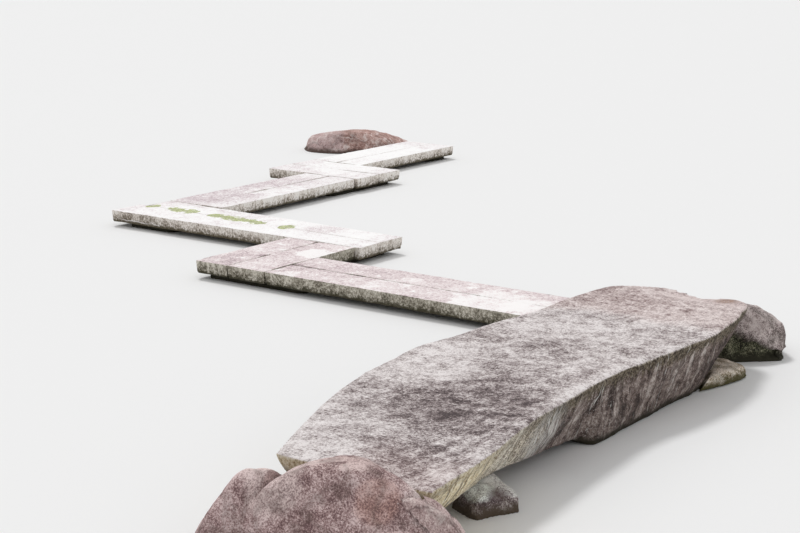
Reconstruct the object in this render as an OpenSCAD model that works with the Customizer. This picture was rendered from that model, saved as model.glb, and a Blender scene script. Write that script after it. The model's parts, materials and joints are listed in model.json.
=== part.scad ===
// Zigzag stone bridge of a garden.
// Six pairs of split granite planks turn at right angles on low pier stones.
// A great natural slab leads on to them, between flanking stones.
// Z = 0 is the level that every stone stands on. The origin is on it, in the
// middle of the first pair of planks and over the pier stone of the first turn.
// X runs along the first pair towards the slab, Y from the slab to the landing.

/* [Granite planks] */
// Width of a plank in the first, fourth and sixth pairs
plank_w = 418; // [350:1:480]
// Width of the second pair's left plank
b_left_w = 420; // [360:1:480]
// Width of the second pair's right plank
b_right_w = 487; // [430:1:540]
// Width of the third pair's front plank at its wide left end
c_front_wide_w = 480; // [440:1:520]
// Width of the third pair's front plank at its slim right end
c_front_slim_w = 360; // [320:1:420]
// Width of the third pair's rear plank
c_rear_w = 383; // [340:1:440]
// Width of the fifth pair's front plank
e_front_w = 478; // [420:1:520]
// Width of the fifth pair's rear plank
e_rear_w = 452; // [400:1:500]
// Thickness of a plank
plank_t = 140; // [110:1:170]
// Open joint between the two planks of a pair
plank_joint = 8; // [4:1:14]
// Open joint where one pair butts against the next
turn_joint = 10; // [5:1:20]
// Height of the pier stones, which the planks lie on
plank_clear = 50; // [40:1:70]
// Worn bevel along the upper edges
top_bevel = 9; // [5:1:14]
// Worn bevel across the upper end edges
end_bevel = 6; // [3:1:8]
// Rough bevel along the lower edges
foot_bevel = 14; // [8:1:20]

/* [Zigzag run] */
// Distance from the first plank pair's free end to the origin
first_end = 220; // [160:1:300]
// Length of the first pair, from the first turn to its end under the slab
run_a = 3900; // [3400:1:4400]
// Length of the second pair
run_b = 1465; // [1300:1:1700]
// Length of the third and longest pair
run_c = 3702; // [3400:1:4000]
// Length of the fourth pair
run_d = 2596; // [2300:1:3000]
// Length of the fifth and shortest pair
run_e = 1524; // [1350:1:1800]
// Length of the sixth pair
run_f = 2250; // [2000:1:2700]
// How far the third pair runs on past the second pair's side
lap_bc = 60; // [20:1:100]
// How far the third pair runs on past the fourth pair's side
lap_cd = 104; // [50:1:170]
// How much shorter the third pair's rear plank is
step_c = 100; // [60:1:160]
// How far the fifth pair runs on past the fourth pair's side
lap_de = 23; // [0:1:80]

/* [Pier stones] */
// Distance that a pier stone stays inside the planks' free edges
pier_inset = 70; // [40:1:110]
// Length of plank that a pier stone carries
pier_reach = 420; // [320:1:520]
// Size of the corners broken off the pier stones
pier_nick = 60; // [30:1:90]

/* [Natural slab] */
// Length of the slab
slab_len = 5382; // [4900:1:5900]
// Width of the slab at its middle
slab_w = 1600; // [1450:1:1800]
// Height of the slab's walking surface
slab_top = 550; // [520:1:600]
// Gap between the first pair's end and the slab's leaning left side
slab_gap = 56; // [30:1:100]
// How far the slab's far end runs past the first pair's centre line
slab_past = 10; // [0:1:60]
// How far the right side leans in from rim to belly
lean_right = 200; // [150:1:260]
// How far the left side leans in from rim to belly
lean_left = 300; // [240:1:340]
// Height of the slab's underside over the near bearing stones
near_seat = 190; // [160:1:210]
// Height of the slab's underside over the far bearing stones
far_seat = 120; // [100:1:140]
// How far the slab's pier stone runs on under the slab
pier_past = 180; // [140:1:240]

/* [Flanking stones] */
// Length of the humped flanking stone at the near end
near_flank_len = 1360; // [1150:1:1500]
// Width of the humped flanking stone
near_flank_w = 720; // [600:1:800]
// Height of the humped flanking stone
near_flank_h = 710; // [620:1:780]
// Length of the lower stone beside its left end
near_tail_len = 900; // [800:1:1100]
// Width of that lower stone
near_tail_w = 560; // [480:1:640]
// Height of that lower stone
near_tail_h = 590; // [500:1:650]
// Length of the dark flanking stone at the slab's far corner
far_flank_len = 866; // [760:1:950]
// Width of the dark flanking stone
far_flank_w = 706; // [620:1:800]
// Height of the dark flanking stone
far_flank_h = 454; // [400:1:500]
// Length of the landing stone beside the last pair of planks
landing_len = 1800; // [1500:1:2000]
// Width of the landing stone
landing_w = 800; // [700:1:900]
// Height of the landing stone
landing_h = 330; // [280:1:380]
// Length of the narrow foot stone at the slab's near corner
foot_stone_len = 620; // [520:1:720]
// Width of the narrow foot stone
foot_stone_w = 260; // [220:1:320]
// Height of the narrow foot stone
foot_stone_h = 560; // [480:1:620]

/* [Bearing stones] */
// Length of the near bearing stone on the right
near_right_len = 350; // [300:1:420]
// Width of the near bearing stone on the right
near_right_w = 320; // [280:1:380]
// Length of the near bearing stone on the left
near_left_len = 480; // [400:1:560]
// Width of the near bearing stone on the left
near_left_w = 420; // [360:1:480]
// Length of the far bearing stone on the right
far_right_len = 800; // [700:1:880]
// Width of the far bearing stone on the right
far_right_w = 460; // [400:1:520]
// Length of the far bearing stone on the left, which fills the room beside the pier stone
far_left_len = 330; // [280:1:380]

/* [Hidden] */

pair_w = 2 * plank_w + plank_joint;
b_w = b_left_w + plank_joint + b_right_w;
e_w = e_front_w + plank_joint + e_rear_w;
plank_top = plank_clear + plank_t;

// The joint between the third pair's planks runs askew, and so does the pair's
// rear side: how far that is from the front side, a given way along the pair
skew = atan((c_front_wide_w - c_front_slim_w) / run_c);
function c_w(way) = c_front_wide_w + plank_joint + c_rear_w / cos(skew) - way * tan(skew);

// Plan of the zigzag: each pair's left or near corner, [x, y]
a_at = [-first_end, -pair_w / 2];
b_at = [a_at.x - turn_joint - b_w, a_at.y];
c_at = [b_at.x + b_w + lap_bc - run_c, b_at.y + run_b + turn_joint];
d_at = [c_at.x + lap_cd, c_at.y + c_w(lap_cd) + turn_joint];
e_at = [d_at.x + pair_w + lap_de - run_e, d_at.y + run_d + turn_joint];
f_at = [e_at.x, e_at.y + e_w + turn_joint];

// One split plank: its section, extruded along X from the corner at the origin
module plank(len, width = plank_w, chips = []) {
    difference() {
        translate([0, 0, plank_clear])
            rotate([90, 0, 90])
                linear_extrude(len) plank_section(width);
        for (end = [0, len])
            translate([end, width / 2, plank_top])
                rotate([0, 0, 90]) edge_bevel(width * 1.1, end_bevel);
        for (chip = chips) translate([chip[0], chip[1], plank_top]) edge_chip(chip[2], chip[3]);
    }
}

// Section of a plank: worn upper edges and a rougher foot
module plank_section(width) {
    polygon([[foot_bevel, 0], [width - foot_bevel * 0.6, 0],
             [width, foot_bevel * 1.4], [width, plank_t - top_bevel],
             [width - top_bevel, plank_t], [top_bevel, plank_t],
             [0, plank_t - top_bevel], [0, foot_bevel]]);
}

// What a worn bevel takes off an upper edge that lies along X
module edge_bevel(len, deep) {
    side = deep * sqrt(2);
    rotate([45, 0, 0]) cube([len, side, side], center = true);
}

// A flake broken off an upper edge: long along X, deep in Y and Z
module edge_chip(len, deep) {
    scale([len / deep, 1, 1]) rotate([45, 0, 0]) cube(deep * sqrt(2), center = true);
}

// The place of a plank that runs along X, its front side this far into its pair
module along_x(at, front = 0) {
    translate([at.x, at.y + front, 0]) children();
}

// The place of a plank that runs along Y, its right side this far into its pair
module along_y(at, right) {
    translate([at.x + right, at.y, 0]) rotate([0, 0, 90]) children();
}

module plank_a_front() { color("rosybrown") along_x(a_at) plank(run_a); }
module plank_a_rear() { color("rosybrown") along_x(a_at, plank_w + plank_joint) plank(run_a); }
module plank_b_left() {
    color("thistle") along_y(b_at, b_left_w) plank(run_b, b_left_w, [[run_b, 90, 60, 18]]);
}
module plank_b_right() { color("thistle") along_y(b_at, b_w) plank(run_b, b_right_w); }
module plank_c_front() {
    color("mistyrose") along_x(c_at) difference() {
        plank(run_c, c_front_wide_w, [[430, 0, 120, 26]]);
        translate([0, c_front_wide_w, plank_clear - plank_t]) rotate([0, 0, -skew])
            translate([-run_c, 0, 0]) cube([3 * run_c, c_front_wide_w, 3 * plank_t]);
        translate([0, c_front_wide_w, plank_top]) rotate([0, 0, -skew])
            edge_bevel(3 * run_c, top_bevel);
    }
}
module plank_c_rear() {
    color("mistyrose") along_x(c_at, c_front_wide_w + plank_joint)
        rotate([0, 0, -skew]) translate([step_c, 0, 0]) plank(run_c - step_c, c_rear_w);
}
module plank_d_left() { color("thistle") along_y(d_at, plank_w) plank(run_d); }
module plank_d_right() {
    color("thistle") along_y(d_at, pair_w) plank(run_d, plank_w, [[0, 150, 90, 22]]);
}
module plank_e_front() { color("mistyrose") along_x(e_at) plank(run_e, e_front_w); }
module plank_e_rear() {
    color("mistyrose") along_x(e_at, e_front_w + plank_joint) plank(run_e, e_rear_w);
}
module plank_f_left() { color("lavenderblush") along_y(f_at, plank_w) plank(run_f); }
module plank_f_right() { color("lavenderblush") along_y(f_at, pair_w) plank(run_f); }

// A pier stone: a low block with broken corners, from low to high in plan
module pier(low, high, tall = plank_clear) {
    size = high - low;
    color("dimgray") translate([low.x, low.y, 0])
        linear_extrude(tall)
            polygon([[pier_nick, 0], [size.x - pier_nick, 0],
                     [size.x, pier_nick], [size.x, size.y - pier_nick],
                     [size.x - pier_nick, size.y], [pier_nick, size.y],
                     [0, size.y - pier_nick], [0, pier_nick]]);
}

inset = [pier_inset, pier_inset];
a_end = a_at.x + run_a;
pier_slab_end = a_end + pier_past;

module pier_turn_ab() {
    pier(b_at + inset, [a_at.x + pier_reach, a_at.y + pair_w - pier_inset]);
}
module pier_turn_bc() {
    pier([b_at.x + pier_inset, b_at.y + run_b - pier_reach],
         [b_at.x, c_at.y] + [b_w, c_w(run_c)] - inset);
}
module pier_turn_cd() {
    pier([d_at.x, c_at.y] + inset, [d_at.x + pair_w - pier_inset, d_at.y + pier_reach]);
}
module pier_turn_de() {
    pier([d_at.x + 2 * pier_inset, d_at.y + run_d - pier_reach],
         [d_at.x, e_at.y] + [pair_w, e_w] - inset);
}
module pier_turn_ef() {
    pier(e_at + inset, [f_at.x + pair_w - 2 * pier_inset, f_at.y + pier_reach]);
}
module pier_landing() {
    pier([f_at.x + pier_inset, f_at.y + run_f - pier_inset - pier_reach],
         f_at + [pair_w, run_f] - inset);
}
module pier_slab() {
    pier([a_end - pier_reach, a_at.y + pier_inset],
         [pier_slab_end, a_at.y + pair_w - pier_inset]);
}

// Plan of the slab's rims: [share of the length, share of half the width]
left_rim = [[0, -0.14], [0.026, -0.20], [0.174, -0.64], [0.338, -1.00], [0.465, -1.08],
            [0.565, -1.02], [0.71, -0.98], [0.832, -0.96], [0.934, -0.93],
            [0.961, -0.88], [0.978, -0.77], [0.99, -0.58], [1, -0.34]];
right_rim = [[0, 1.34], [0.089, 1.27], [0.207, 1.11], [0.394, 0.94], [0.557, 0.85],
             [0.667, 0.94], [0.775, 1.00], [0.888, 0.89], [0.92, 0.80],
             [0.955, 0.76], [0.98, 0.70], [0.993, 0.62], [1, 0.50]];
// Underside along the slab: [share of the length, share of that end's seat height]
belly_left = [[0, 1], [0.246, 1], [0.374, 0.47], [0.492, 0], [0.817, 0], [0.857, 1], [1, 1]];
belly_right = [[0, 1], [0.246, 1], [0.335, 0.68], [0.443, 0.37], [0.473, 0.32], [0.4875, 0],
               [0.817, 0], [0.857, 1], [1, 1]];
// Share of the right side's lean along the slab: a lobe swells out of the belly
lobe = [[0, 1.2], [0.295, 1], [0.481, 1], [0.492, 0.45], [0.551, 0.3], [0.65, 0.7],
        [0.729, 0.95], [1, 1]];
// Sections along the slab, and the points of each section
stations = concat([for (k = [0:15]) k * 0.03], [0.466, 0.481, 0.4875, 0.494, 0.51],
                  [for (k = [18:31]) k * 0.03], [0.945, 0.96, 0.972, 0.984, 0.993, 1]);
across = [0, 0.02, 0.09, 0.2, 0.32, 0.44, 0.56, 0.67, 0.76, 0.84, 0.92, 0.98, 1];
down = [0.1, 0.25, 0.42, 0.6, 0.8, 1];
under = [0.8, 0.6, 0.4, 0.2];
// Rounding of the rim, and the shallow hollows worn in the top
rim_drop = 14;
hollow = 12;
side_swell = 18;
// A worn trough beside the right rim at the near end
trough = 26;
// A lip slopes down behind a low ridge across the far end
lip = 55;
lip_from = 0.92;
// The far end leans in like the sides, which grow steeper towards the rim
lean_end = 220;
lean_power = 1.4;
// Share of the length at which the first pair's near edge meets the slab
pair_share = 1 - (slab_past + pair_w / 2) / slab_len;

function rim_fall(f) = (f == 0 || f == 1) ? rim_drop : 0;
function top_z(s, f) = slab_top - hollow
    + hollow * 0.6 * sin(790 * s + 170 * f) + hollow * 0.4 * sin(1800 * s - 400 * f)
    - trough * exp(-pow((f - 0.8) / 0.12, 2) - pow(s / 0.17, 2)) - rim_fall(f)
    - lip * max(0, s - lip_from) / (1 - lip_from) * exp(-pow((f - 0.55) / 0.25, 2));
function side_x(s, t, lean) = lean * pow(t, lean_power)
    + side_swell * sin(180 * t) * sin(1500 * s + 200 * t);
function end_y(s, t) = s <= 0.93 ? 0 : -lean_end * pow(t, lean_power) * (s - 0.93) / 0.07;
function belly_z(s, table) = (s < 0.6 ? near_seat : far_seat) * lookup(s, table);

// The slab's centre line: its left side leans in above the first pair's end,
// and keeps its gap there at the height of the planks' tops
pair_depth = (slab_top - plank_top) / (slab_top - far_seat);
slab_x = a_end + slab_gap - slab_w / 2 * lookup(pair_share, left_rim)
    - lean_left * pow(pair_depth, lean_power);
function rim_x(s, table) = slab_x + slab_w / 2 * lookup(s, table);
function slab_y(s) = slab_past - slab_len * (1 - s);

// One section of the slab at share s of its length, as a closed loop
function slab_section(s) =
    let (l = rim_x(s, left_rim), r = rim_x(s, right_rim),
         low_l = belly_z(s, belly_left), low_r = belly_z(s, belly_right),
         lean_l = min(lean_left, (r - l) * 0.4),
         lean_r = min(lean_right * lookup(s, lobe), (r - l) * 0.4),
         foot_l = l + side_x(s, 1, lean_l), foot_r = r - side_x(s, 1, lean_r))
    concat(
        [for (f = across) [l + (r - l) * f, slab_y(s), top_z(s, f)]],
        [for (t = down) [r - side_x(s, t, lean_r), slab_y(s) + end_y(s, t),
                         low_r + (top_z(s, 1) - low_r) * (1 - t)]],
        [for (f = under) [foot_l + (foot_r - foot_l) * f, slab_y(s) + end_y(s, 1),
                          low_l + (low_r - low_l) * f]],
        [for (k = [len(down) - 1:-1:0]) let (t = down[k])
            [l + side_x(s, t, lean_l), slab_y(s) + end_y(s, t),
             low_l + (top_z(s, 0) - low_l) * (1 - t)]]);

function mean(points) = [for (p = points) 1] * points / len(points);

// The solid through a row of sections that all have the same count of points
module loft(sections) {
    n = len(sections[0]);
    last = len(sections) - 1;
    middle = [mean(sections[0]), mean(sections[last])];
    points = concat([for (section = sections) each section], middle);
    skin = [for (k = [0:last - 1], i = [0:n - 1]) let (j = (i + 1) % n)
            each [[k * n + i, (k + 1) * n + i, (k + 1) * n + j],
                  [k * n + i, (k + 1) * n + j, k * n + j]]];
    near_cap = [for (i = [0:n - 1]) [i, (i + 1) % n, (last + 1) * n]];
    far_cap = [for (i = [0:n - 1]) [last * n + (i + 1) % n, last * n + i, (last + 1) * n + 1]];
    polyhedron(points, concat(skin, near_cap, far_cap));
}

module natural_slab() { color("gray") loft([for (s = stations) slab_section(s)]); }

// A weathered stone is the rounded body inside a few broken faces.
// Each face is [bearing, tilt, distance] seen from the middle of the foot.
function face_way(face) = [cos(face[0]) * cos(face[1]), sin(face[0]) * cos(face[1]), sin(face[1])];
function reach(way, faces, edge) =
    pow([for (face = faces) pow(max(0, way * face_way(face)) / face[2], edge)]
        * [for (face = faces) 1], -1 / edge);
function lumps(lon, lat, seed) = 1 + cos(lat) * (0.030 * sin(3 * lon + 57 * seed)
    + 0.018 * sin(5 * lon - 2 * lat + 91 * seed)) + 0.012 * sin(6 * lat + 33 * seed);

// Steps round and up a stone
stone_round = 30;
stone_up = 9;

// A stone of a given length, width and height, its foot's middle at the place
// given and its length turned to a bearing
module stone(at, turn, extent, faces, edge = 9, seed = 1) {
    size = [extent.x / 2, extent.y / 2, extent.z];
    rings = [for (j = [0:stone_up - 1], i = [0:stone_round - 1])
             let (lat = 90 * j / stone_up, lon = 360 * i / stone_round,
                  way = [cos(lon) * cos(lat), sin(lon) * cos(lat), sin(lat)],
                  r = reach(way, faces, edge) * lumps(lon, lat, seed))
             [way.x * size.x * r, way.y * size.y * r, way.z * size.z * r]];
    peak = [0, 0, size.z * reach([0, 0, 1], faces, edge)];
    n = stone_round;
    top = (stone_up - 1) * n;
    skin = [for (j = [0:stone_up - 2], i = [0:n - 1]) let (k = (i + 1) % n)
            each [[j * n + i, (j + 1) * n + i, (j + 1) * n + k],
                  [j * n + i, (j + 1) * n + k, j * n + k]]];
    cap = [for (i = [0:n - 1]) [top + i, top + n, top + (i + 1) % n]];
    foot = [[for (i = [0:n - 1]) i]];
    translate([at.x, at.y, 0]) rotate([0, 0, turn])
        polyhedron(concat(rings, [peak]), concat(skin, cap, foot));
}

// Where the slab's sides meet its underside, and its two ends
function right_foot(s) = rim_x(s, right_rim) - lean_right * lookup(s, lobe);
function left_foot(s) = rim_x(s, left_rim) + lean_left;
near_y = slab_y(0);
far_y = slab_y(1);
near_mid = (rim_x(0, left_rim) + rim_x(0, right_rim)) / 2;
far_corner = rim_x(1, right_rim);
// A bearing stone is made this much taller than its seat and then cut to the slab
seat_cut = 1.15;

// The humped stone stops flat against the slab's near end, and the lower stone
// meets it at a joint across their length
joint_x = near_mid - 0.21 * near_flank_len;
module space_from(x, y) { translate([x, y, -slab_w]) cube(2 * slab_w); }
module hump() {
    stone([near_mid + 100, near_y - 0.33 * near_flank_w], 21,
          [near_flank_len, near_flank_w, near_flank_h],
          [[0, 8, 0.98], [180, 10, 1], [90, 0, 1], [270, -22, 0.85], [250, 35, 0.92],
           [300, 32, 0.92], [8, 52, 1.02], [168, 55, 0.98], [90, 84, 1]], seed = 2);
}
module flank_near() {
    color("indianred") difference() {
        hump();
        space_from(near_mid - slab_w, near_y);
        space_from(joint_x - 2 * slab_w, near_y - 1.5 * slab_w);
    }
}
module flank_tail() {
    color("indianred") difference() {
        stone([near_mid - 0.46 * near_tail_len, near_y - 0.65 * near_tail_w], 6,
              [near_tail_len, near_tail_w, near_tail_h],
              [[0, 0, 1], [180, 5, 1], [90, 0, 1], [270, -20, 0.85], [240, 35, 0.92],
               [190, 40, 0.86], [300, 40, 0.95], [110, 75, 0.95]], seed = 9);
        space_from(joint_x, near_y - 1.5 * slab_w);
    }
}
module foot_stone() {
    color("pink") difference() {
        stone([rim_x(0, right_rim) + 10, near_y - 0.24 * foot_stone_w], 26,
              [foot_stone_len, foot_stone_w, foot_stone_h],
              [[0, 28, 0.95], [90, 12, 1], [180, 0, 1], [270, 12, 1], [0, 66, 0.86], [150, 80, 1]],
              seed = 3);
        natural_slab();
        hump();
    }
}
module bearing_near_right() {
    share = 0.211;
    color("lightgray") difference() {
        stone([right_foot(share) + 5, slab_y(share)], 66,
              [near_right_len, near_right_w, near_seat * seat_cut],
              [[0, 5, 1], [90, 10, 1], [180, 10, 1], [270, 0, 1], [290, 80, 0.79], [90, 85, 1]],
              edge = 16, seed = 4);
        natural_slab();
    }
}
module bearing_near_left() {
    share = 0.08;
    color("gray") difference() {
        stone([left_foot(share) + near_left_w / 2, slab_y(share)], 10,
              [near_left_len, near_left_w, near_seat * seat_cut],
              [[0, 10, 1], [90, 10, 1], [180, 10, 1], [270, 10, 1], [0, 90, 0.98]], seed = 5);
        natural_slab();
    }
}
module bearing_far_right() {
    share = 0.862;
    color("tan") difference() {
        stone([right_foot(share) - 0.031 * slab_w, slab_y(share)], 78,
              [far_right_len, far_right_w, far_seat * seat_cut],
              [[0, 0, 0.96], [90, 10, 1], [180, 10, 1], [270, 8, 0.98], [0, 86, 0.98]],
              edge = 8, seed = 6);
        natural_slab();
    }
}
// It reaches from beside the slab's pier stone back under the slab's belly, and
// stays this share of the slab's width behind its far corner
far_left_back = 0.287;
module bearing_far_left() {
    pier([pier_slab_end, far_y - lean_end / 2 - far_left_len],
         [far_corner - far_left_back * slab_w, far_y - lean_end / 2], far_seat);
}
module flank_far() {
    color("dimgray") difference() {
        stone([far_corner - 0.09 * slab_w, far_y + 0.29 * far_flank_w], 38,
              [far_flank_len, far_flank_w, far_flank_h],
              [[0, -15, 0.94], [50, 10, 1], [110, 20, 1], [180, -20, 0.95], [270, -35, 0.84],
               [300, 48, 1.15], [240, 50, 1.0], [10, 52, 1.08], [90, 75, 0.97]], seed = 7);
        natural_slab();
    }
}
module landing_stone() {
    color("sienna") difference() {
        stone([f_at.x - 0.43 * landing_len, f_at.y + run_f - 0.26 * landing_w], 33,
              [landing_len, landing_w, landing_h],
              [[0, 35, 1], [60, 20, 1], [110, 15, 1], [180, 10, 0.95], [225, 10, 0.95],
               [270, 15, 0.9], [350, 45, 0.9], [150, 75, 0.98]], seed = 8);
        translate([f_at.x, f_at.y, -1]) cube([pair_w, run_f, landing_h * 2]);
    }
}

plank_a_front();
plank_a_rear();
plank_b_left();
plank_b_right();
plank_c_front();
plank_c_rear();
plank_d_left();
plank_d_right();
plank_e_front();
plank_e_rear();
plank_f_left();
plank_f_right();
pier_slab();
pier_turn_ab();
pier_turn_bc();
pier_turn_cd();
pier_turn_de();
pier_turn_ef();
pier_landing();
natural_slab();
bearing_near_right();
bearing_near_left();
bearing_far_right();
bearing_far_left();
flank_near();
flank_tail();
foot_stone();
flank_far();
landing_stone();
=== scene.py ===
# Looks of a zigzag bridge of granite planks on low pier stones, with the great
# natural slab that leads on to it and the rough stones that the slab rests among.
# Lengths are in metres in the frame of the solids: every stone stands on z = 0.
import json
import math

import bpy
import numpy as np
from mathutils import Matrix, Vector


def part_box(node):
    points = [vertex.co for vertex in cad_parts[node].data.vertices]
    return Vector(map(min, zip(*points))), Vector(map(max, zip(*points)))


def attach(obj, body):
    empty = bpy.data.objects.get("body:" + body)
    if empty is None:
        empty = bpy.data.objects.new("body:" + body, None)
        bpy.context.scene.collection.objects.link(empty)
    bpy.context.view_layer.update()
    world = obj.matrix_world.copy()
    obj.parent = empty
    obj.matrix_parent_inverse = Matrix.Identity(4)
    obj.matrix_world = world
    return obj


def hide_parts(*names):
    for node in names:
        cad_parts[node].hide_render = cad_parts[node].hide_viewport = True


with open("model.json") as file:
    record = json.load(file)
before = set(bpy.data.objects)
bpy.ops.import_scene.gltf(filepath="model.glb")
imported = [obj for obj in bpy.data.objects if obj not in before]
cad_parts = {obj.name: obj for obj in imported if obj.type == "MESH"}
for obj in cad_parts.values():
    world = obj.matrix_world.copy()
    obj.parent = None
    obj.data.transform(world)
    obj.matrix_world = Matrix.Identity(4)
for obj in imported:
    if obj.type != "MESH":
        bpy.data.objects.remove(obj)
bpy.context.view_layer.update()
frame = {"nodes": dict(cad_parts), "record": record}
SLOT_OF = {row["node"]: row["material_slot"] for row in frame["record"]["subparts"]}

# Steps and cells of the meshes
PLANK_STEP = 0.015
PLANK_EDGE_STEP = 0.010
SLAB_CELL = 0.0165
STONE_CELL = 0.014
FLANK_CELL = 0.012
PIER_CELL = 0.02
WELD_GAP = 0.00002

# Levels that shapes and finishes share
GROUND = 0.0
PLANK_TOP = 0.19
SLAB_TOP = 0.53
SLAB_RIM_DEPTH = 0.09

# Where joints between planks gape: X, Y and reach
GAPING = [(-0.02, 0.0, 0.26), (0.60, 0.0, 0.14), (-0.24, -0.10, 0.24), (-0.75, 0.16, 0.12),
          (-0.75, 1.05, 0.12), (-2.97, 1.83, 0.20), (-3.30, 4.00, 0.50), (-3.30, 3.10, 0.20),
          (-3.22, 5.00, 0.40), (-3.95, 5.48, 0.30), (-3.15, 4.48, 0.36), (-3.62, 4.52, 0.24),
          (-3.10, 1.90, 0.16)]

# The joint of the longest pair: where it starts, how far it runs askew, and its damp lengths
JOINT_X, JOINT_Y, JOINT_SKEW = -3.872, 1.560, 0.0324
DAMP_LENGTHS = [(-3.78, -3.56), (-3.46, -2.92), (-2.78, -1.84), (-1.66, -1.42)]

# The ridge of the dark flanking stone in plan: a point on it, its way, and the way that
# the hollow below it faces
RIDGE_FROM = np.array([4.696, -0.068])
RIDGE_WAY = np.array([0.823, 0.568])
HOLLOW_WAY = np.array([0.55, -0.80, 0.0])

# Floor, light and camera
FLOOR_REACH = 150.0
FLOOR_TONE = 0.86
SKY_STRENGTH = 0.66
LAMP_STRENGTH = 1.28
LAMP_ANGLE = 12
LAMP_FROM = (-0.55, 0.35, 1.0)
EYE = (10.61, -12.86, 3.861)
EYE_DOWN, EYE_HEADING = 12.417, 36.38
SENSOR_WIDTH = 36.0
FOCAL_PIXELS, PHOTO_PIXELS = 1700, 800
SIGHT = 400.0


# Smooth random fields for the shapes

# Turns the cells of a drift away from the axes, so that they don't line up with edges
TURN = np.array([[0.80, 0.36, -0.48], [-0.60, 0.48, -0.64], [0.00, 0.80, 0.60]])


def scattered(cells, seed):
    """A repeatable random number from -1 to 1 for each whole-numbered cell."""
    x, y, z = (cells[:, k].astype(np.uint32) for k in range(3))
    mixed = x * np.uint32(73856093) ^ y * np.uint32(19349663) ^ z * np.uint32(83492791)
    mixed ^= np.uint32(seed * 40503 + 977)
    mixed = (mixed ^ (mixed >> np.uint32(13))) * np.uint32(1274126177)
    mixed = (mixed ^ (mixed >> np.uint32(16))) * np.uint32(2246822519)
    return ((mixed >> np.uint32(8)) & np.uint32(0xFFFF)) / 32767.5 - 1


def drift(points, size, seed):
    """Smooth random numbers from -1 to 1 that change over about the given size."""
    scaled = (points / size) @ TURN + seed * 7.3
    cell = np.floor(scaled).astype(np.int64)
    part = scaled - cell
    part = part * part * part * (part * (part * 6 - 15) + 10)
    total = np.zeros(len(points))
    for corner in np.ndindex(2, 2, 2):
        share = np.prod(np.where(corner, part, 1 - part), axis=1)
        total += share * scattered(cell + corner, seed)
    return total


def rough(points, size, seed, layers=3):
    """Layers of drift, each half the size and strength of the last, from about -1 to 1."""
    size = np.asarray(size, float)
    return sum(drift(points, size / 2 ** k, seed + k) / 2 ** k for k in range(layers)) / 1.6


def ease(values, low, high):
    """0 below low, 1 above high and a smooth rise between."""
    share = np.clip((values - low) / (high - low), 0, 1)
    return share * share * (3 - 2 * share)


# Meshes

def new_piece(name, data):
    """A new object in the scene, made of a mesh, a lamp or a lens."""
    piece = bpy.data.objects.new(name, data)
    bpy.context.scene.collection.objects.link(piece)
    return piece


def mesh_of(name, points, faces):
    """A mesh of the given points and faces."""
    mesh = bpy.data.meshes.new(name)
    mesh.from_pydata(points.tolist(), [], faces.tolist())
    mesh.update()
    return mesh


def read(mesh, what):
    """The places (co) or ways out (normal) of a mesh's points, one row each."""
    flat = np.empty(len(mesh.vertices) * 3, np.float32)
    mesh.vertices.foreach_get(what, flat)
    return flat.reshape(-1, 3).astype(float)


def place(mesh, points):
    """Moves a mesh's points, none of them below the ground."""
    points[:, 2] = np.maximum(points[:, 2], GROUND)
    mesh.vertices.foreach_set("co", points.astype(np.float32).ravel())
    mesh.update()


def note(mesh, name, values):
    """Keeps a number for each point of a mesh, which the finishes read by name."""
    kept = mesh.attributes.new(name, "FLOAT", "POINT")
    kept.data.foreach_set("value", np.asarray(values, np.float32))


def stand_for(piece, node):
    """The piece takes a solid's place, rides with it and has its finish."""
    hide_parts(node)
    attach(piece, "root")
    piece.data.materials.append(FINISHES[SLOT_OF[node]])
    piece.data.shade_smooth()


def ticks(high, step, edge):
    """Places from 0 to high about a step apart, and closer together at both ends."""
    close = np.array([0, 0.3, 0.65, 1.05, 1.6]) * edge
    count = max(2, round((high - 2 * close[-1]) / step))
    middle = np.linspace(close[-1], high - close[-1], count + 1)
    return np.concatenate([close[:-1], middle, high - close[-2::-1]])


def box_skin(places):
    """Points and quads of a box's skin through the given places along each axis."""
    count = [len(p) for p in places]
    quads = []
    for axis in range(3):
        u, v = (axis + 1) % 3, (axis + 2) % 3
        i, j = np.meshgrid(np.arange(count[u] - 1), np.arange(count[v] - 1), indexing="ij")
        for end in (0, count[axis] - 1):
            corners = []
            for du, dv in ((0, 0), (1, 0), (1, 1), (0, 1)):
                at = {axis: np.full(i.shape, end), u: i + du, v: j + dv}
                corners.append((at[0] * count[1] + at[1]) * count[2] + at[2])
            quad = np.stack(corners, -1).reshape(-1, 4)
            quads.append(quad if end else quad[:, ::-1])
    used, faces = np.unique(np.concatenate(quads), return_inverse=True)
    x, rest = np.divmod(used, count[1] * count[2])
    y, z = np.divmod(rest, count[2])
    return np.stack([places[0][x], places[1][y], places[2][z]], 1), faces.reshape(-1, 4)


# Planks: split granite with a worn walking face, rough sides and a ragged foot

def plan_corners(node):
    """A plank's corners in plan, at its low and high ends along X and Y."""
    solid = read(frame["nodes"][node].data, "co")[:, :2]
    ways = np.array([[-1, -1], [1, -1], [-1, 1], [1, 1]])
    return solid[np.argmax(solid @ ways.T, axis=0)]


def fitted(points, size, corners, floor_z):
    """Moves a straight plank's points on to its real, slightly tapered plan."""
    u, v = (points[:, :2] / size[:2]).T[:, :, None]
    plan = ((1 - u) * (1 - v) * corners[0] + u * (1 - v) * corners[1]
            + (1 - u) * v * corners[2] + u * v * corners[3])
    return np.column_stack([plan, points[:, 2] + floor_z])


def rounded(points, size, radius):
    """A box's points moved on to its rounded edges, and the way out at each."""
    inner = np.clip(points, radius, size - radius)
    out = points - inner
    way = out / np.linalg.norm(out, axis=1, keepdims=True)
    return inner + way * radius, way


def gaping(spot):
    """1 where a joint is known to gape, 0 elsewhere."""
    near = [ease(np.hypot(spot[:, 0] - x, spot[:, 1] - y), reach, reach * 0.6)
            for x, y, reach in GAPING]
    return np.max(near, axis=0)


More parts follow.
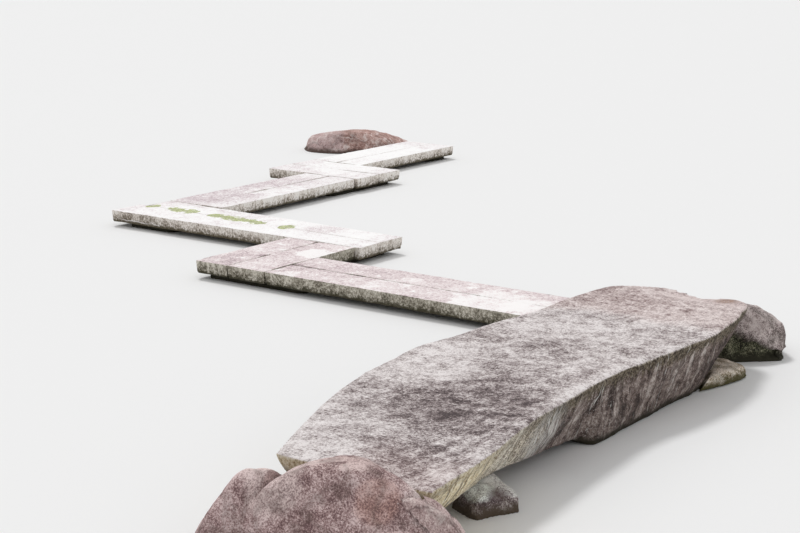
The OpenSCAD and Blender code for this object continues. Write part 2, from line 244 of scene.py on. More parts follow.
def plank(node, seed, broken=None):
    """A split plank with chipped edges, whose sides close most joints at the top."""
    low, high = (np.array(corner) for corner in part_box(node))
    corners = plan_corners(node)
    front, back = corners[1] - corners[0], corners[3] - corners[2]
    left, right = corners[2] - corners[0], corners[3] - corners[1]
    size = np.array([np.hypot(*(front + back)) / 2, np.hypot(*(left + right)) / 2,
                     high[2] - low[2]])
    points, faces = box_skin([ticks(size[k], PLANK_STEP, PLANK_EDGE_STEP) for k in range(3)])
    rise = points[:, 2] / size[2]
    spot = fitted(points, size, corners, low[2])
    gape = gaping(spot)
    # Edges: small chips, a few large ones, and a rounder foot
    chips = (0.010 * ease(rough(points, 0.06, seed + 11), 0.30, 0.80)
             + 0.024 * ease(rough(points, 0.26, seed + 17), 0.55, 0.90))
    radius = 0.0050 + 0.0030 * rough(points, 0.35, seed + 5) + chips + 0.006 * gape
    radius = radius + 0.012 * (1 - ease(rise, 0.0, 0.5))
    shaped, way = rounded(points, size, np.clip(radius, 0.003, 0.042)[:, None])
    side = np.sqrt(np.clip(1 - way[:, 2] ** 2, 0, 1))
    top = ease(way[:, 2], 0.2, 0.9)
    # Sides: split faces that bow in towards the foot, and swell where a joint is closed
    split = 0.5 + 0.5 * rough(points, [0.16, 0.16, 0.10], seed, 4)
    bowed = 0.5 + 0.5 * rough(points, 0.7, seed + 41, 2)
    swell = ease(rough(points, 0.22, seed + 47, 2), 0.05, -0.40) * ease(rise, 0.4, 0.9)
    depth = side * (split * (0.001 + 0.013 * (1 - rise)) + 0.005 * bowed * (1 - rise)
                    - 0.0035 * swell * (1 - gape) + 0.010 * gape)
    # Walking face and underside
    depth += top * (0.003 * (1 + rough(points, 0.4, seed + 23))
                    + 0.0012 * rough(points, 0.05, seed + 29))
    depth += (1 - side) * (1 - top) * 0.008 * split
    if broken:
        depth += broken(spot, rise, way, split)
    shaped -= way * depth[:, None]
    ragged = np.clip(rough(points, 0.13, seed + 31, 4), 0, 1) * 0.045 * side
    shaped[:, 2] += ragged * (1 - ease(rise, 0.05, 0.45))
    mesh = mesh_of(node, fitted(shaped, size, corners, low[2]), faces)
    note(mesh, "gape", gape)
    note(mesh, "worn", np.clip(chips / 0.02, 0, 1) * ease(1 - side * (1 - top), 0.0, 0.6))
    stand_for(new_piece(node + "_stone", mesh), node)


def spalled_front(spot, rise, way, split):
    """The wide plank's front has scaled off at its left end, up to a sharp step."""
    along = spot[:, 0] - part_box("plank_c_front")[0][0]
    facing = ease(-way[:, 1], 0.3, 0.9)
    edge = 0.72 + 0.03 * (split - 0.5) + 0.05 * (1 - rise)
    scaled = ease(along, 0.0, 0.16) * (1 - ease(along - edge, -0.012, 0.012))
    upper = ease(along, 0.38, 0.55) * scaled * ease(rise, 0.6, 0.95)
    return facing * (scaled * (0.016 + 0.022 * split) * ease(rise, 1.0, 0.75) + upper * 0.026)


def worn_corner(spot, rise, way, split):
    """The rear plank's left end has crumbled where damp stays in the joint."""
    along = spot[:, 0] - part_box("plank_c_rear")[0][0]
    return 0.018 * (1 - ease(along, 0.0, 0.10)) * split * ease(rise, 0.2, 0.9)


# Natural stones

def skinned(node, cell, smooth):
    """A copy of a node's solid as an even skin of small cells, with its facets eased."""
    piece = new_piece(node + "_stone", frame["nodes"][node].data.copy())
    piece.data.materials.clear()
    weld = piece.modifiers.new("weld", "WELD")
    weld.merge_threshold = WELD_GAP
    skin = piece.modifiers.new("skin", "REMESH")
    skin.mode = "VOXEL"
    skin.voxel_size = cell
    if smooth:
        even = piece.modifiers.new("even", "SMOOTH")
        even.factor = 0.5
        even.iterations = smooth
    graph = bpy.context.evaluated_depsgraph_get()
    mesh = bpy.data.meshes.new_from_object(piece.evaluated_get(graph))
    piece.modifiers.clear()
    piece.data = mesh
    return piece


def boulder(node, seed, cell=STONE_CELL, smooth=6, lumps=0.012, crags=0.010, pits=0.003,
            carved=None):
    """A weathered field stone: soft lumps, broken crags and fine pits."""
    piece = skinned(node, cell, smooth)
    mesh = piece.data
    points, way = read(mesh, "co"), read(mesh, "normal")
    crag = 1 - np.abs(rough(points, 0.22, seed + 3, 4)) * 2
    depth = lumps * (1 - rough(points, 0.30, seed)) * 0.5
    depth += crags * np.clip(crag, 0, 1) ** 2
    depth += pits * (0.5 + 0.5 * rough(points, 0.035, seed + 9, 2))
    shade = np.zeros(len(points))
    if carved:
        cut, shade = carved(points, way)
        depth += cut
    foot = ease(points[:, 2], 0.0, 0.03)
    place(mesh, points - way * (depth * foot)[:, None])
    # The deepest crags, where the finish paints shade into the crevices
    note(mesh, "crack_and_crevice_shade", np.clip(crag, 0, 1) ** 4)
    # Where shade is painted into a hollow, kept for the finish
    note(mesh, "under", shade)
    stand_for(piece, node)


def undercut_flank(points, way):
    """Below a ridge that falls to the right, the dark flanking stone is hollowed out, and the
    hollow is also given back as the mask for its painted shade.
    """
    along = (points[:, :2] - RIDGE_FROM) @ RIDGE_WAY
    wobble = rough(points, 0.12, 1733, 3)
    ridge = np.clip(0.272 - 0.47 * along, 0.095, 0.30) + 0.018 * wobble
    below = ridge - points[:, 2]
    facing = ease(way @ HOLLOW_WAY, -0.15, 0.35)
    cave = facing * ease(below, 0.0, 0.035)
    broken = 0.5 + 0.5 * rough(points, [0.10, 0.10, 0.16], 1741, 4)
    lip = facing * np.exp(-(below / 0.022) ** 2)
    return cave * (0.028 + 0.055 * broken) - lip * 0.004, cave


def faceted_crown(points, way):
    """Broken faces that meet in sharp ridges, with nothing in shade below them."""
    block = rough(points, 0.16, 1811, 2)
    return 0.016 * np.abs(block), np.zeros(len(points))


def broken_flank(points, way):
    """The dark flanking stone, hollow below its ridge and broken above it."""
    cave, shade = undercut_flank(points, way)
    crown, _ = faceted_crown(points, way)
    return cave + crown * (1 - shade), shade


def rims(node, top):
    """The slab's rims in plan: places along Y, with the left and the right X at each."""
    solid = read(frame["nodes"][node].data, "co")
    rim = solid[solid[:, 2] > top - SLAB_RIM_DEPTH]
    lines = np.unique(rim[:, 1].round(4))
    at_line = [rim[np.abs(rim[:, 1] - y) < 0.001, 0] for y in lines]
    return lines, [x.min() for x in at_line], [x.max() for x in at_line]


def slab(node, seed):
    """The natural slab: a worn undulating top, a soft rim and fluted sides."""
    low, high = (np.array(corner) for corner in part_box(node))
    lines, left_rim, right_rim = rims(node, high[2])
    piece = skinned(node, SLAB_CELL, 9)
    mesh = piece.data
    points, way = read(mesh, "co"), read(mesh, "normal")
    x, y, z = points.T
    left, right = np.interp(y, lines, left_rim), np.interp(y, lines, right_rim)
    along = (y - low[1]) / (high[1] - low[1])
    across = (x - left) / (right - left)
    top = ease(way[:, 2], 0.35, 0.85)
    side = np.sqrt(np.clip(1 - way[:, 2] ** 2, 0, 1))
    # Fluted and flaked sides, plainer just under the far rim
    flute = rough(points, [0.40, 0.15, 0.55], seed + 4, 4)
    flake = np.abs(rough(points, [0.34, 0.22, 0.30], seed + 14, 3))
    under_rim = ease(high[2] - z, 0.02, 0.14)
    under_rim *= 1 - 0.8 * ease(along, 0.90, 0.97) * ease(z, 0.36, 0.42)
    depth = side * under_rim * (0.018 * (0.5 + 0.5 * flute) + 0.012 * ease(flake, 0.0, 0.25))
    # Hollows and pits in the top
    dish = rough(points, [0.35, 0.50, 0.35], seed, 4)
    pit = rough(points, 0.05, seed + 19, 2)
    depth += top * (0.007 * (0.6 + dish) + 0.0018 * (1 + pit))
    # Broken places in the rim, none of them at the far end
    to_rim = np.minimum(np.abs(x - left), np.abs(right - x))
    broken = ease(rough(points, [0.3, 0.22, 0.3], seed + 24, 3), 0.2, 0.8)
    broken *= 1 - ease(along, 0.80, 0.88)
    depth += 0.012 * broken * (1 - ease(to_rim, 0.0, 0.05)) * ease(z, 0.42, 0.52)
    place(mesh, points - way * depth[:, None])
    note(mesh, "along", along)
    note(mesh, "across", across)
    note(mesh, "hollow", np.clip(0.5 + dish * 0.8, 0, 1))
    note(mesh, "crack_and_crevice_shade", 1 - ease(flake, 0.0, 0.12))
    stand_for(piece, node)


# Finishes. A tone is where a number stands, from 0 to 1, and the colour there.

# A Mix node's two colours and its outcome, by the number of their sockets
MIX_UNDER, MIX_OVER, MIX_OUT = 6, 7, 2


def tint(red, green, blue):
    """A colour as it is seen, 0 to 255, as the light that it gives back."""
    seen = [c / 255 for c in (red, green, blue)]
    return tuple(c / 12.92 if c <= 0.04045 else ((c + 0.055) / 1.055) ** 2.4 for c in seen) + (1.0,)


class Field:
    """A number that changes over a stone. Sums of fields add the nodes that work them out."""

    def __init__(self, finish, socket):
        self.finish = finish
        self.socket = socket

    def maths(self, operation, *values):
        """What a Math node makes of fields and numbers."""
        return self.finish.node("Math", {"operation": operation}, dict(enumerate(values)))

    def __add__(self, other):
        return self.maths("ADD", self, other)

    def __sub__(self, other):
        return self.maths("SUBTRACT", self, other)

    def __mul__(self, other):
        return self.maths("MULTIPLY", self, other)

    def __rsub__(self, other):
        return self.maths("SUBTRACT", other, self)

    def __abs__(self):
        return self.maths("ABSOLUTE", self)

    __radd__ = __add__
    __rmul__ = __mul__


class Finish:
    """A stone's material, with the few fields and mixes that finishes are written in."""

    def __init__(self, name):
        self.material = bpy.data.materials.new(name)
        self.material.use_nodes = True
        self.tree = self.material.node_tree
        self.shader = self.tree.nodes["Principled BSDF"]
        self.at = self.node("TexCoord", output="Object")
        self.up = self.node("SeparateXYZ", inputs={0: self.node("NewGeometry", output="Normal")},
                            output="Z")
        place_at = self.node("SeparateXYZ", inputs={0: self.at}, output=None)
        self.x, self.y, self.z = (Field(self, place_at.outputs[k]) for k in range(3))

    def node(self, kind, settings=None, inputs=None, output=0):
        """A node of a kind: its settings first, then the values or links of its sockets."""
        made = self.tree.nodes.new("ShaderNode" + kind)
        settings = dict(settings or {})
        stops = settings.pop("stops", None)
        for setting, value in settings.items():
            setattr(made, setting, value)
        if stops:
            ramp = made.color_ramp.elements
            while len(ramp) < len(stops):
                ramp.new(0.5)
            for element, (spot, colour) in zip(ramp, stops):
                element.position = spot
                element.color = colour
        for socket, value in (inputs or {}).items():
            if isinstance(value, Field):
                self.tree.links.new(value.socket, made.inputs[socket])
            else:
                made.inputs[socket].default_value = value
        return made if output is None else Field(self, made.outputs[output])

    def noted(self, name):
        """A number that the mesh keeps under a name."""
        return self.node("Attribute", {"attribute_name": name}, output="Fac")

    def stretched(self, x=1.0, y=1.0, z=1.0, turn=0.0):
        """Places on the stone, stretched along its axes after a turn about z."""
        return self.node("Mapping", inputs={"Vector": self.at, "Scale": (x, y, z),
                                            "Rotation": (0, 0, turn)})

    def noise(self, scale, detail=3.0, harsh=0.55, at=None, warp=0.0):
        """Cloudy noise about 0.5, with a given count of clouds a metre."""
        return self.node("TexNoise", inputs={"Vector": at or self.at, "Scale": scale,
                                             "Detail": detail, "Roughness": harsh,
                                             "Distortion": warp})

    def rise(self, value, low, high):
        """0 where the value is at low, 1 at high, a smooth rise between."""
        return self.node("MapRange", {"interpolation_type": "SMOOTHSTEP"},
                         {"Value": value, "From Min": low, "From Max": high})

    def near(self, spot, reach):
        """1 around a place on the stone and 0 beyond a reach from it."""
        gap = self.node("VectorMath", {"operation": "DISTANCE"}, {0: self.at, 1: spot}, "Value")
        return self.rise(gap, reach, reach * 0.35)

    def mix(self, mask, under, over):
        """The colour under, and as far as the mask says the field or colour over it."""
        over = over if isinstance(over, Field) else tint(*over)
        return self.node("Mix", {"data_type": "RGBA"},
                         {0: mask, MIX_UNDER: under, MIX_OVER: over}, MIX_OUT)

    def ramp(self, value, tones):
        """A colour for each value, through the given tones."""
        stops = [(spot, tint(*colour)) for spot, *colour in tones]
        return self.node("ValToRGB", {"stops": stops}, {"Fac": value})

    def done(self, colour, roughness, relief, strength, distance):
        """Sends the colour, roughness and relief to the shader."""
        bump = self.node("Bump", inputs={"Strength": strength, "Distance": distance,
                                         "Height": relief})
        for socket, value in (("Base Color", colour), ("Roughness", roughness), ("Normal", bump)):
            self.tree.links.new(value.socket, self.shader.inputs[socket])
        self.shader.inputs["Specular IOR Level"].default_value = 0.3
        return self.material


def granite(name, top_tones, side_tones, soiled, dirt, bleached, runs, stain=None):
    """Split granite: a pale trodden top, speckled sides and a dark line at the foot.

    The tones go from the darkest specks to the palest, and soiled is the foot's colour.
    Dirt and bleached are places on the top, each X, Y, reach and strength. Runs are
    places on the sides, each X, Y, Z, reach and strength, and paler below zero.
    """
    f = Finish(name)
    fine = f.noise(40, 4, 0.75, warp=0.2)
    grit = f.noise(105, 3, 0.75)
    cloud = f.noise(1.7, 4, 0.6, warp=0.4)
    patch = f.noise(6.5, 5, 0.65)
    top = f.rise(f.up, 0.55, 0.9)
    # The walking face
    level = (fine * 0.66 + grit * 0.34 + (cloud - 0.5) * 0.16 + (patch - 0.5) * 0.22
             + f.noted("worn") * 0.12)
    level = level - f.noted("gape") * f.rise(f.up, 0.96, 0.80) * 0.20
    for x, y, reach, amount in dirt:
        level = level - f.near((x, y, PLANK_TOP), reach) * amount
    for x, y, reach, amount in bleached:
        pale = f.near((x, y, PLANK_TOP), reach) + (patch - 0.5) * 2.2
        level = level + f.rise(pale, 0.20, 0.80) * amount
    walked = f.ramp(level, top_tones)
    # The sides, dark and green towards the foot
    streak = f.noise(5.0, 4, 0.65, f.stretched(3.2, 3.2, 0.9))
    level = (fine * 0.62 + grit * 0.34 + (streak - 0.5) * 0.16 + (patch - 0.5) * 0.34
             + (f.z - 0.12) * 0.5 + 0.02)
    for x, y, z, reach, amount in runs:
        level = level - f.near((x, y, z), reach) * f.rise(streak, 0.42, 0.60) * amount
    wall = f.ramp(level, side_tones)
    grimy = f.rise(f.z + (patch - 0.5) * 0.10, 0.15, 0.09) * f.rise(fine, 0.60, 0.46)
    wall = f.mix(grimy * 0.5, wall, soiled)
    wet = f.rise(f.z + (streak - 0.5) * 0.07 + (fine - 0.5) * 0.05, 0.092, 0.070)
    wall = f.mix(wet * 0.92, wall, soiled)
    colour = f.mix(top, wall, walked)
    if stain:
        colour = stain(f, colour, fine, patch, top)
    relief = fine * 0.6 + grit * 0.3 + patch * 0.6
    return f.done(colour, 0.84 - top * 0.08, relief, 0.55, 0.006)


def damp_joint(f, colour, fine, patch, top):
    """Green staining along the joint of the longest pair, where damp stays."""
    off_joint = f.y - (JOINT_Y - (f.x - JOINT_X) * JOINT_SKEW) - (patch - 0.5) * 0.12
    spread = sum(f.rise(f.x, left, left + 0.09) * f.rise(f.x, right, right - 0.09)
                 for left, right in DAMP_LENGTHS)
    width = spread * (f.rise(f.noise(9.0, 3, 0.6), 0.36, 0.56) * 0.070 + 0.050)
    mask = f.rise(abs(off_joint) - width, 0.016, -0.016) * f.rise(fine, 0.36, 0.43) * top
    green = f.ramp(fine, [(0.38, 112, 122, 60), (0.48, 160, 170, 100), (0.58, 210, 216, 166)])
    return f.mix(mask * f.rise(spread, 0.02, 0.2) * 0.95, colour, green)


def slab_top(f, along, across, hollow, fleck, mottle, grit):
    """The slab's top: purple grey under a cream bloom, rosy towards the far end."""
    broad = f.noise(1.5, 3, 0.55)
    level = fleck * 0.54 + grit * 0.40 + (mottle - 0.5) * 0.62 + (broad - 0.5) * 0.20 + 0.040
    level = level + (hollow - 0.5) * 0.06
    # A dark patch and two pale ones: place, reach and strength
    for spot, reach, amount in (((4.45, -3.95, 0.54), 0.95, -0.072),
                                ((3.60, -3.60, 0.54), 0.80, 0.030),
                                ((3.62, -2.75, 0.53), 0.35, 0.050)):
        level = level + f.near(spot, reach) * amount
    near_left = f.rise(along, 0.16, 0.04) * f.rise(across, 0.62, 0.30)
    middle = f.rise(along, 0.42, 0.62) * f.rise(along, 0.84, 0.76)
    right_rim = f.rise(across, 0.90, 0.98) * f.rise(along, 0.92, 0.80)
    level = level + near_left * 0.065 + middle * 0.006 + right_rim * 0.04
    # Streaks at the right of the near end, where rain runs off
    flow = f.noise(3.4, 4, 0.65, f.stretched(4.5, 0.9, 1.0))
    washed = f.rise(across, 0.52, 0.74) * f.rise(along, 0.42, 0.18)
    level = level + (flow - 0.5) * washed * 0.40 - washed * 0.035
    body = f.ramp(level, [(0.33, 72, 61, 62), (0.40, 108, 95, 95), (0.45, 150, 137, 136),
                          (0.49, 184, 174, 173), (0.54, 212, 203, 202), (0.61, 240, 234, 233)])
    rosy = f.rise(along, 0.15, 0.03) * f.rise(across, 0.30, 0.60) * 0.45
    rosy = rosy + f.rise(along + (broad - 0.5) * 0.2, 0.76, 0.84) * 0.70
    body = f.mix(rosy, body, f.ramp(level, [(0.385, 124, 100, 98), (0.46, 176, 154, 151),
                                            (0.53, 212, 194, 191), (0.60, 236, 223, 220)]))
    lip = f.rise(along + (across - 0.5) * 0.02, 0.945, 0.965) * f.rise(across, 0.25, 0.45)
    body = f.mix(lip * f.rise(fleck, 0.40, 0.52) * 0.6, body, (222, 206, 203))
    rust = f.near((4.60, -0.10, SLAB_TOP), 0.14) * f.rise(fleck, 0.42, 0.54)
    return f.mix(rust * 0.8, body, (146, 112, 88))


def slab_side(f, along, crack_and_crevice_shade, depth, fleck, mottle, grit, grain, runs):
    """The slab's sides: dark and run with rain, speckled and then sandy at the near end."""
    level = (fleck * 0.44 + grit * 0.34 + grain * 0.20 + (runs - 0.5) * 0.62
             + (mottle - 0.5) * 0.75 - f.rise(along, 0.70, 0.85) * 0.050)
    wall = f.ramp(level, [(0.36, 58, 48, 45), (0.44, 98, 84, 79), (0.51, 132, 117, 111),
                          (0.60, 170, 158, 151), (0.70, 216, 208, 203)])
    middle = f.rise(along, 0.20, 0.30) * f.rise(along, 0.62, 0.50)
    specks = f.rise(fleck * 0.6 + grit * 0.4, 0.56, 0.63) * middle
    wall = f.mix(specks * 0.8, wall, (226, 220, 217))
    speckle = f.ramp(fleck * 0.6 + grit * 0.5 + (runs - 0.5) * 0.35 - 0.05,
                     [(0.40, 84, 72, 62), (0.46, 164, 151, 134), (0.52, 222, 213, 196),
                      (0.59, 250, 246, 236)])
    wall = f.mix(f.rise(along, 0.36, 0.28), wall, speckle)
    sand = f.ramp(grain * 0.35 + fleck * 0.65,
                  [(0.40, 146, 122, 90), (0.46, 224, 206, 168), (0.52, 250, 238, 206),
                   (0.60, 255, 250, 234)])
    wall = f.mix(f.rise(along, 0.24, 0.10) * f.rise(runs, 0.24, 0.38), wall, sand)
    drip = f.rise(f.noise(2.0, 4, 0.6, f.stretched(2.0, 11.0, 1.1)), 0.56, 0.61)
    wall = f.mix(drip * f.rise(along, 0.32, 0.16) * 0.7, wall, (84, 70, 56))
    # A dark ragged fringe under the rim
    fringe = f.rise(depth + (grain - 0.5) * 0.42 + (runs - 0.5) * 0.12, 0.125, 0.085)
    fringe = fringe * (f.rise(along, 0.22, 0.34) * 0.65 + 0.35)
    wall = f.mix(fringe * 0.90, wall, f.ramp(fleck, [(0.42, 50, 42, 34), (0.50, 92, 81, 65),
                                                     (0.60, 146, 136, 116)]))
    # Pale lime runs
    scar = f.noise(1.7, 4, 0.6, f.stretched(2.2, 30.0, 3.0))
    lime = f.near((4.96, -3.56, 0.30), 0.34) * f.rise(grain, 0.44, 0.56)
    lime = lime + f.near((4.90, -2.72, 0.28), 0.40) * f.rise(scar, 0.60, 0.66)
    lime = lime + f.near((4.88, -1.70, 0.30), 0.90) * f.rise(scar, 0.62, 0.67) * 0.8
    lime = lime + f.near((4.74, -0.35, 0.26), 0.30) * f.rise(grain, 0.52, 0.62) * 0.4
    wall = f.mix(lime, wall, (214, 212, 208))
    # The near tip, the foot and the cracks are dark
    tip = f.rise(along, 0.035, 0.012) * f.rise(depth, 0.06, 0.12)
    wall = f.mix(tip * 0.8, wall, (70, 58, 50))
    wall = f.mix(f.rise(f.z + (mottle - 0.5) * 0.10, 0.09, 0.02), wall, (50, 46, 34))
    return f.mix(crack_and_crevice_shade * 0.35, wall, (48, 40, 36))


def slab_finish():
    """The great natural slab, with a pale worn edge between its top and its sides."""
    f = Finish("natural_slab_stone")
    along, across = f.noted("along"), f.noted("across")
    hollow, crack_and_crevice_shade = f.noted("hollow"), f.noted("crack_and_crevice_shade")
    fleck = f.noise(46, 4, 0.76, warp=0.2)
    mottle = f.noise(8, 7, 0.80, warp=0.2)
    grit = f.noise(95, 3, 0.75)
    runs = f.noise(2.2, 5, 0.65, f.stretched(1.6, 7.0, 0.9))
    grain = f.noise(2.6, 6, 0.75, f.stretched(2.5, 24.0, 2.2))
    top = f.rise(f.up, 0.42, 0.72)
    depth = SLAB_TOP - f.z
    colour = f.mix(top, slab_side(f, along, crack_and_crevice_shade, depth, fleck, mottle, grit, grain, runs),
                   slab_top(f, along, across, hollow, fleck, mottle, grit))
    edge = f.rise(f.up, 0.12, 0.34) * f.rise(f.up, 0.74, 0.50) * f.rise(depth, 0.08, 0.04)
    colour = f.mix(edge * f.rise(fleck, 0.42, 0.54) * 0.6, colour, (214, 204, 192))
    relief = fleck * 0.8 + mottle * 0.8 + grit * 0.4 + (grain * 0.4 + runs * 0.8) * (1 - top)
    return f.done(colour, 0.88 - hollow * 0.06, relief, 0.75, 0.012)


def field_stone(name, tones, foot, veins=None, crown=None, hollow_shade_tones=None, marks=()):
    """A weathered stone: speckled skin, pale crown, shade painted into its cracks and a dark foot.

    Foot is a colour. Veins are a colour, strength and turn, and the crown is a colour,
    two slopes that it fades between, and a strength. The hollow's tones are those of the
    shade painted into it, and marks are spots, each a colour, place, reach and strength.
    """
    f = Finish(name)
    crack_and_crevice_shade, under = f.noted("crack_and_crevice_shade"), f.noted("under")
    fleck = f.noise(95, 3, 0.72)
    mottle = f.noise(7, 7, 0.78, warp=0.3)
    grit = f.noise(210, 2, 0.7)
    up = f.rise(f.up, 0.05, 0.80)
    level = fleck * 0.66 + grit * 0.30 + (mottle - 0.5) * 0.70 + (up - 0.5) * 0.05 + 0.02
    body = f.ramp(level, tones)
    if crown:
        colour, low, high, strength = crown
        crowned = f.rise(f.up, low, high) * f.rise(mottle + (fleck - 0.5) * 0.5, 0.40, 0.52)
        body = f.mix(crowned * strength, body, colour)
    for colour, spot, reach, strength in marks:
        marked = f.rise(f.near(spot, reach) + (mottle - 0.5) * 1.4, 0.25, 0.75)
        marked = marked * (f.rise(fleck, 0.42, 0.55) * 0.7 + 0.3)
        body = f.mix(marked * strength, body, colour)
    if veins:
        colour, strength, turn = veins
        vein = abs(f.noise(2.4, 3, 0.5, f.stretched(1, 2.2, 2.2, turn)) - 0.5)
        body = f.mix(f.rise(vein, 0.030, 0.0) * strength, body, colour)
    # Shade painted into the crevices, in the foot's colour
    body = f.mix(crack_and_crevice_shade * 0.5, body, foot)
    # Shade painted into the hollow under a ridge
    if hollow_shade_tones:
        body = f.mix(under * 0.9, body, f.ramp(fleck + (mottle - 0.5) * 0.6, hollow_shade_tones))
    body = f.mix(f.rise(f.z + (mottle - 0.5) * 0.12, 0.10, 0.02), body, foot)
    relief = fleck * 0.7 + mottle * 0.6 + grit * 0.3 - crack_and_crevice_shade * 0.5
    return f.done(body, 0.9 - up * 0.05, relief, 0.7, 0.010)


GRANITES = {
    "granite_rose": dict(
        top_tones=[(0.35, 158, 138, 143), (0.43, 204, 186, 189), (0.49, 226, 211, 211),
                   (0.56, 240, 230, 230), (0.64, 252, 249, 248)],
        side_tones=[(0.38, 84, 78, 68), (0.46, 130, 123, 110), (0.52, 166, 160, 146),
                    (0.61, 214, 208, 196)],
        soiled=(64, 60, 44),
        dirt=[(-1.0, -0.15, 0.45, 0.03), (-0.20, -0.15, 0.25, 0.02), (-0.16, 0.0, 0.09, 0.12),
              (0.02, 0.0, 0.07, 0.10), (0.16, 0.0, 0.06, 0.10), (-0.75, 0.16, 0.08, 0.10),
              (0.9, 0.05, 0.5, 0.02)],
        bleached=[(2.30, -0.16, 0.62, 0.12), (1.10, -0.18, 0.36, 0.05),
                  (-0.36, 0.55, 0.30, 0.17), (-0.45, 1.05, 0.30, 0.05),
                  (-0.55, -0.20, 0.30, 0.06), (2.75, -0.10, 0.45, 0.10),
                  (0.02, -0.36, 0.20, 0.08), (1.15, 0.15, 0.18, 0.07)],
        runs=[(-0.72, -0.42, 0.12, 0.12, 0.12), (-0.95, -0.42, 0.15, 0.42, -0.11),
              (-0.30, -0.42, 0.15, 0.35, -0.08)]),
    "granite_pale": dict(
        top_tones=[(0.34, 190, 172, 178), (0.42, 224, 212, 214), (0.49, 244, 239, 239),
                   (0.56, 252, 250, 250), (0.66, 255, 255, 254)],
        side_tones=[(0.37, 132, 121, 110), (0.44, 188, 178, 168), (0.51, 226, 218, 210),
                    (0.60, 246, 242, 237)],
        soiled=(84, 76, 58),
        dirt=[(-3.60, 2.5, 0.80, 0.10), (-3.60, 3.7, 0.80, 0.08), (-3.9, 4.9, 0.45, 0.03),
              (-1.1, 1.62, 0.35, 0.09), (-3.75, 5.9, 0.30, 0.05)],
        bleached=[(-1.2, 1.25, 1.40, 0.06), (-3.1, 1.2, 0.90, 0.05), (-3.9, 6.4, 1.30, 0.09),
                  (-3.6, 5.2, 0.75, 0.07), (-3.1, 3.2, 0.45, 0.05)],
        runs=[(-3.62, 1.20, 0.13, 0.45, 0.10), (-2.7, 1.15, 0.13, 1.40, 0.07),
              (-3.0, 3.3, 0.12, 1.90, -0.10), (-3.0, 6.4, 0.12, 1.90, -0.08),
              (-3.57, 6.9, 0.14, 0.50, 0.07), (-3.57, 6.1, 0.14, 0.40, 0.06)],
        stain=damp_joint),
}

FIELD_STONES = {
    "pier_stone": dict(
        tones=[(0.36, 58, 54, 44), (0.50, 98, 92, 80), (0.64, 146, 140, 126)],
        foot=(46, 43, 32)),
    "bearing_grey": dict(
        tones=[(0.40, 84, 72, 74), (0.47, 140, 126, 126), (0.53, 190, 178, 176),
               (0.60, 240, 234, 230)],
        # Its greenish-white crown and the two near-white marks are partly painted light: the
        # stone's pale top is made whiter than it is, so that it stays bright where the slab's
        # shadow falls on it
        foot=(88, 76, 64), crown=((232, 238, 234), 0.30, 0.60, 0.45),
        marks=[((250, 255, 250), (4.96, -4.36, 0.22), 0.20, 1.0),
               ((255, 255, 252), (5.24, -4.22, 0.22), 0.16, 1.0),
               ((96, 78, 82), (5.10, -4.30, 0.20), 0.17, 0.75)]),
    "bearing_tan": dict(
        tones=[(0.39, 70, 56, 38), (0.46, 150, 132, 104), (0.51, 206, 188, 166),
               (0.58, 252, 244, 232)],
        foot=(80, 76, 46), crown=((216, 195, 184), 0.45, 0.85, 0.25)),
    "flank_purple": dict(
        tones=[(0.39, 106, 81, 82), (0.46, 150, 122, 121), (0.53, 186, 159, 157),
               (0.60, 230, 208, 207)],
        foot=(100, 84, 78), crown=((224, 204, 198), 0.66, 1.0, 0.42),
        marks=[((204, 156, 140), (5.12, -5.62, 0.50), 0.20, 0.38),
               ((234, 216, 212), (4.52, -5.72, 0.50), 0.36, 0.60),
               ((240, 230, 226), (5.30, -5.30, 0.42), 0.34, 0.60)]),
    "foot_rose": dict(
        tones=[(0.36, 138, 114, 112), (0.47, 186, 162, 160), (0.56, 214, 194, 190),
               (0.66, 238, 226, 222)],
        foot=(92, 76, 70), veins=((96, 78, 76), 0.6, 0.4)),
    "flank_dark": dict(
        tones=[(0.39, 84, 73, 70), (0.46, 134, 120, 118), (0.52, 176, 162, 160),
               (0.60, 226, 214, 210)],
        foot=(52, 50, 38), crown=((184, 168, 167), 0.30, 0.80, 0.15),
        marks=[((86, 74, 66), (4.82, 0.08, 0.40), 0.24, 0.35),
               ((190, 172, 174), (5.10, -0.05, 0.32), 0.26, 0.50),
               ((96, 84, 78), (5.25, 0.30, 0.30), 0.22, 0.30)],
        # The tones of the shade painted into the hollow under its ridge
        hollow_shade_tones=[(0.38, 26, 28, 18), (0.49, 62, 66, 44), (0.58, 122, 124, 94),
                (0.68, 180, 176, 150)]),
    "landing_rust": dict(
        tones=[(0.38, 120, 88, 82), (0.46, 166, 131, 123), (0.54, 200, 170, 162),
               (0.62, 238, 224, 220)],
        foot=(90, 74, 68), veins=((236, 222, 218), 0.7, 0.6),
        crown=((176, 128, 116), 0.45, 0.90, 0.50),
        marks=[((212, 192, 194), (-5.50, 6.95, 0.22), 0.55, 0.65),
               ((160, 108, 96), (-4.90, 7.10, 0.33), 0.40, 0.50),
               ((224, 216, 214), (-4.55, 6.95, 0.20), 0.36, 0.60)]),
}

FINISHES = {"slab_stone": slab_finish()}
FINISHES |= {slot: granite(slot, **look) for slot, look in GRANITES.items()}
FINISHES |= {slot: field_stone(slot, **look) for slot, look in FIELD_STONES.items()}


# The stones, each with the seed of its own roughness

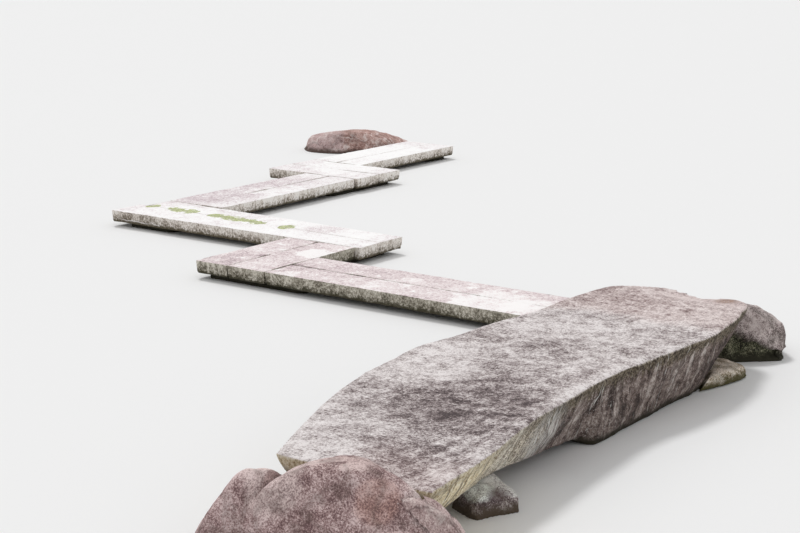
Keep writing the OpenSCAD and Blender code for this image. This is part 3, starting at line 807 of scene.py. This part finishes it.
BROKEN = {"plank_c_front": spalled_front, "plank_c_rear": worn_corner}
PLANKS = [node for node in frame["nodes"] if node.startswith("plank_")]
BLOCKS = [node for node in frame["nodes"] if node.startswith("pier_")] + ["bearing_far_left"]
for number, node in enumerate(PLANKS):
    plank(node, 40 + 50 * number, BROKEN.get(node))
for number, node in enumerate(BLOCKS):
    boulder(node, 900 + 30 * number, PIER_CELL, 1, 0.006, 0.006, 0.002)
slab("natural_slab", 1300)
boulder("bearing_near_right", 1401, smooth=0, lumps=0.004, crags=0.004, pits=0.002)
boulder("bearing_near_left", 1431, lumps=0.006)
boulder("bearing_far_right", 1461, smooth=70, lumps=0.010, crags=0.006, pits=0.004)
boulder("flank_near", 1500, smooth=8, lumps=0.014, crags=0.004)
boulder("flank_tail", 1530, smooth=8, lumps=0.014, crags=0.004)
boulder("foot_stone", 1560, smooth=2, lumps=0.008, crags=0.012)
boulder("flank_far", 1590, FLANK_CELL, 2, lumps=0.006, crags=0.014, carved=broken_flank)
boulder("landing_stone", 1620, smooth=1, lumps=0.006, crags=0.012, carved=faceted_crown)


# Floor, light and camera

def floor():
    """A plain pale floor, wide enough to reach the horizon of the views."""
    corners = np.array([[x, y, 0] for x, y in ((-1, -1), (1, -1), (1, 1), (-1, 1))]) * FLOOR_REACH
    piece = new_piece("floor", mesh_of("floor", corners, np.array([[0, 1, 2, 3]])))
    material = bpy.data.materials.new("floor")
    material.use_nodes = True
    shader = material.node_tree.nodes["Principled BSDF"]
    shader.inputs["Base Color"].default_value = (FLOOR_TONE, FLOOR_TONE, FLOOR_TONE, 1)
    shader.inputs["Roughness"].default_value = 0.9
    piece.data.materials.append(material)


def light():
    """An even white sky and one high, broad lamp."""
    world = bpy.data.worlds.new("studio")
    world.use_nodes = True
    world.node_tree.nodes["Background"].inputs["Color"].default_value = (1, 1, 1, 1)
    world.node_tree.nodes["Background"].inputs["Strength"].default_value = SKY_STRENGTH
    bpy.context.scene.world = world
    lamp = bpy.data.lights.new("high_lamp", "SUN")
    lamp.energy = LAMP_STRENGTH
    lamp.angle = math.radians(LAMP_ANGLE)
    holder = new_piece("high_lamp", lamp)
    holder.rotation_euler = Vector(LAMP_FROM).to_track_quat("Z", "Y").to_euler()


def camera():
    """The photograph's own view: its place, heading and lens."""
    lens = bpy.data.cameras.new("view")
    lens.sensor_width = SENSOR_WIDTH
    lens.lens = SENSOR_WIDTH * FOCAL_PIXELS / PHOTO_PIXELS
    lens.clip_end = SIGHT
    holder = new_piece("view", lens)
    holder.location = EYE
    holder.rotation_euler = (math.radians(90 - EYE_DOWN), 0, math.radians(EYE_HEADING))
    bpy.context.scene.camera = holder


floor()
light()
camera()
bpy.context.scene.view_settings.view_transform = "Standard"
